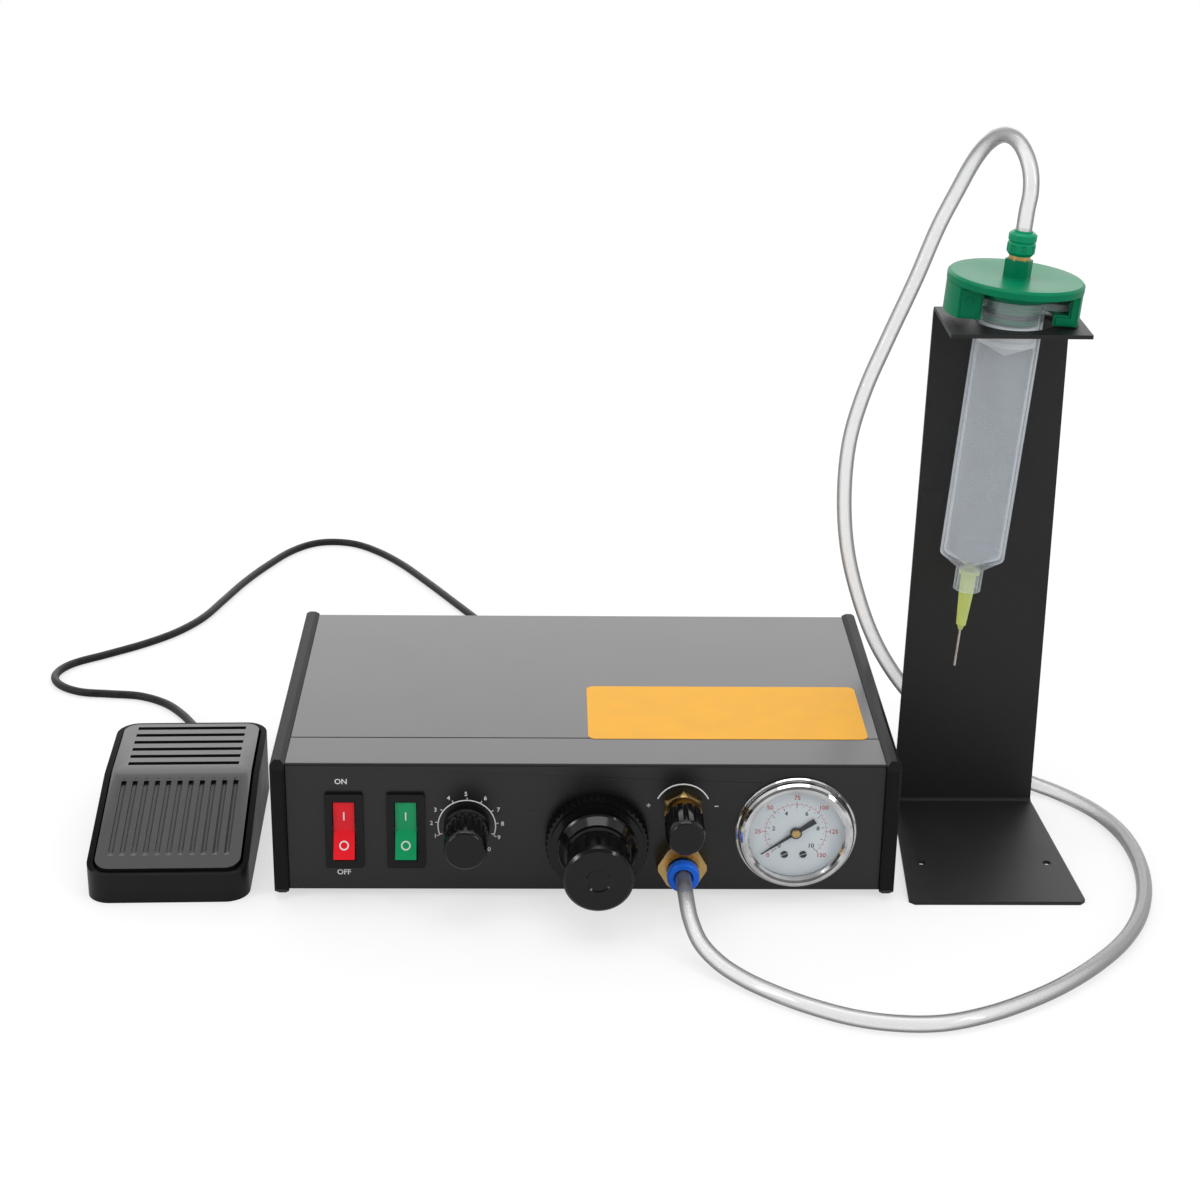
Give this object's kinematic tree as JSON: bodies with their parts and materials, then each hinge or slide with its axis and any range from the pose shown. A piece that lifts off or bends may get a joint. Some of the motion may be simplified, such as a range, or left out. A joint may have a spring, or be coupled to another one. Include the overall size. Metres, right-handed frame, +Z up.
{
  "type": "pneumatic glue dispenser",
  "caption": "Bench air dispenser for glue: control unit with switches, timer, regulator and gauge, foot pedal, sheet stand and syringe with needle, joined by hose and cable.",
  "frame": {"origin": "on the bench under the middle of the control unit, which is the middle of the rigid pieces' box", "axes": "+X to the right along the front panel, +Y from the front panel to the rear panel, +Z up"},
  "size_m": [0.4617, 0.4654, 0.2793],
  "materials": {
    "end_plate_paint": "fine textured black powder coat",
    "panel_paint": "satin black powder coat",
    "black_rubber": "matte moulded rubber",
    "dark_steel": "blackened steel",
    "board_green": "solder mask over laminate",
    "core_steel": "varnished core steel",
    "bare_aluminium": "bead-blasted aluminium",
    "tube_blue": "soft air tube",
    "black_plastic": "moulded black plastic",
    "rocker_red": "glossy moulded red",
    "rocker_green": "glossy moulded green",
    "plated_steel": "nickel-plated steel",
    "fitting_brass": "turned brass",
    "knob_black": "satin moulded black",
    "collar_blue": "moulded blue",
    "gauge_chrome": "bright chrome plate",
    "dial_white": "pale printed dial",
    "gauge_glass": "clear window",
    "pointer_black": "satin black paint",
    "sintered_bronze": "grainy sintered bronze",
    "plug_plastic": "moulded dark plastic",
    "pedal_plastic": "satin moulded black",
    "cable_black": "smooth black jacket",
    "stand_paint": "fine textured black powder coat on steel sheet",
    "barrel_clear": "milky clear polypropylene",
    "piston_white": "white polyethylene",
    "adapter_green": "moulded deep green",
    "coupling_green": "moulded green",
    "hub_yellow": "translucent yellow-green",
    "hose_clear": "clear polyurethane"
  },
  "bodies": {
    "controller": {"left_end_plate": "end_plate_paint", "right_end_plate": "end_plate_paint", "front_panel": "panel_paint", "top_cover": "panel_paint", "bottom_tray": "panel_paint", "rear_panel": "panel_paint", "rubber_feet": "black_rubber", "end_plate_screws": "dark_steel", "circuit_board": "board_green", "mains_transformer": "core_steel", "solenoid_valve": "bare_aluminium", "vacuum_ejector": "bare_aluminium", "inner_air_lines": "tube_blue", "power_switch_housing": "black_plastic", "mode_switch_housing": "black_plastic", "time_potentiometer": "plated_steel", "panel_lock_nuts": "fitting_brass", "regulator_body": "bare_aluminium", "regulator_ring_nut": "knob_black", "regulator_bonnet": "knob_black", "vacuum_valve_body": "fitting_brass", "vacuum_nut": "fitting_brass", "output_fitting": "fitting_brass", "gauge_case": "black_plastic", "gauge_bezel": "gauge_chrome", "gauge_dial": "dial_white", "gauge_lens": "gauge_glass", "gauge_movement": "fitting_brass", "mains_inlet": "black_plastic", "air_inlet_fitting": "fitting_brass", "exhaust_muffler": "sintered_bronze", "foot_switch_socket": "plated_steel", "foot_switch_plug": "plug_plastic", "pedal_base": "pedal_plastic", "pedal_hinge_pin": "plated_steel", "pedal_spring": "plated_steel", "pedal_microswitch": "black_plastic", "pedal_cable_gland": "black_rubber", "pedal_cable": "cable_black", "syringe_stand": "stand_paint", "syringe_barrel": "barrel_clear", "needle_hub": "hub_yellow", "needle_tube": "plated_steel", "air_hose": "hose_clear"},
    "power_rocker_body": {"power_rocker": "rocker_red"},
    "mode_rocker_body": {"mode_rocker": "rocker_green"},
    "timer_control": {"time_shaft": "plated_steel", "time_knob": "knob_black"},
    "adjusting_screw": {"regulator_screw": "plated_steel"},
    "pressure_knob": {"regulator_knob": "knob_black"},
    "needle_valve": {"vacuum_spindle": "fitting_brass"},
    "vacuum_control": {"vacuum_knob": "knob_black"},
    "hose_release": {"release_collar": "collar_blue"},
    "pointer": {"gauge_pointer": "pointer_black"},
    "pedal_top": {"pedal_plate": "pedal_plastic"},
    "piston": {"syringe_piston": "piston_white"},
    "adapter": {"adapter_cap": "adapter_green", "adapter_seal_ring": "black_rubber", "hose_barb": "fitting_brass", "hose_coupling": "coupling_green"}
  },
  "joints": [
    {"name": "power_rocker_tilt", "type": "hinge", "parent": "controller", "child": "power_rocker_body", "pos_m": [-0.0906, -0.0698, 0.0286], "axis": [1, 0, 0], "range_deg": [0, 24]},
    {"name": "mode_rocker_tilt", "type": "hinge", "parent": "controller", "child": "mode_rocker_body", "pos_m": [-0.0675, -0.0698, 0.0286], "axis": [1, 0, 0], "range_deg": [0, 24]},
    {"name": "time_knob_turn", "type": "hinge", "parent": "controller", "child": "timer_control", "pos_m": [-0.0447, -0.08, 0.0303], "axis": [0, 1, 0], "range_deg": [0, 280]},
    {"name": "regulator_screw_turn", "type": "hinge", "parent": "controller", "child": "adjusting_screw", "pos_m": [0.0042, -0.085, 0.0253], "axis": [0, 1, 0], "range_deg": [0, 1530]},
    {"name": "regulator_knob_pull", "type": "slide", "parent": "adjusting_screw", "child": "pressure_knob", "axis": [0, -1, 0], "range_m": [0, 0.003]},
    {"name": "vacuum_spindle_slide", "type": "slide", "parent": "controller", "child": "needle_valve", "axis": [0, -1, 0], "range_m": [0, 0.00225]},
    {"name": "vacuum_knob_turn", "type": "hinge", "parent": "needle_valve", "child": "vacuum_control", "pos_m": [0.0363, -0.09, 0.0377], "axis": [0, -1, 0], "range_deg": [0, 1080]},
    {"name": "release_collar_press", "type": "slide", "parent": "controller", "child": "hose_release", "axis": [0, 1, 0], "range_m": [0, 0.001], "stiffness_N_per_m": 800},
    {"name": "gauge_pointer_turn", "type": "hinge", "parent": "controller", "child": "pointer", "pos_m": [0.0792, -0.072, 0.0282], "axis": [0, 1, 0], "range_deg": [0, 270], "stiffness_Nm_per_rad": 0.0002, "springref_deg": -28.65},
    {"name": "pedal_press", "type": "hinge", "parent": "controller", "child": "pedal_top", "pos_m": [-0.16015, 0.01489, 0.014], "axis": [0.9997, 0.0262, 0], "range_deg": [0, 2.5], "stiffness_Nm_per_rad": 20, "springref_deg": -1.15, "deforming": ["pedal_spring"]},
    {"name": "piston_slide", "type": "slide", "parent": "controller", "child": "piston", "axis": [-0.0732, 0, -0.9973], "range_m": [0, 0.08]},
    {"name": "adapter_lock", "type": "hinge", "parent": "controller", "child": "adapter", "pos_m": [0.156, -0.013, 0.2115], "axis": [0.0732, 0, 0.9973], "range_deg": [0, 90]}
  ],
  "couplings": [
    {"joint": "vacuum_knob_turn", "follows": "vacuum_spindle_slide", "rad_per_m": 8377}
  ]
}
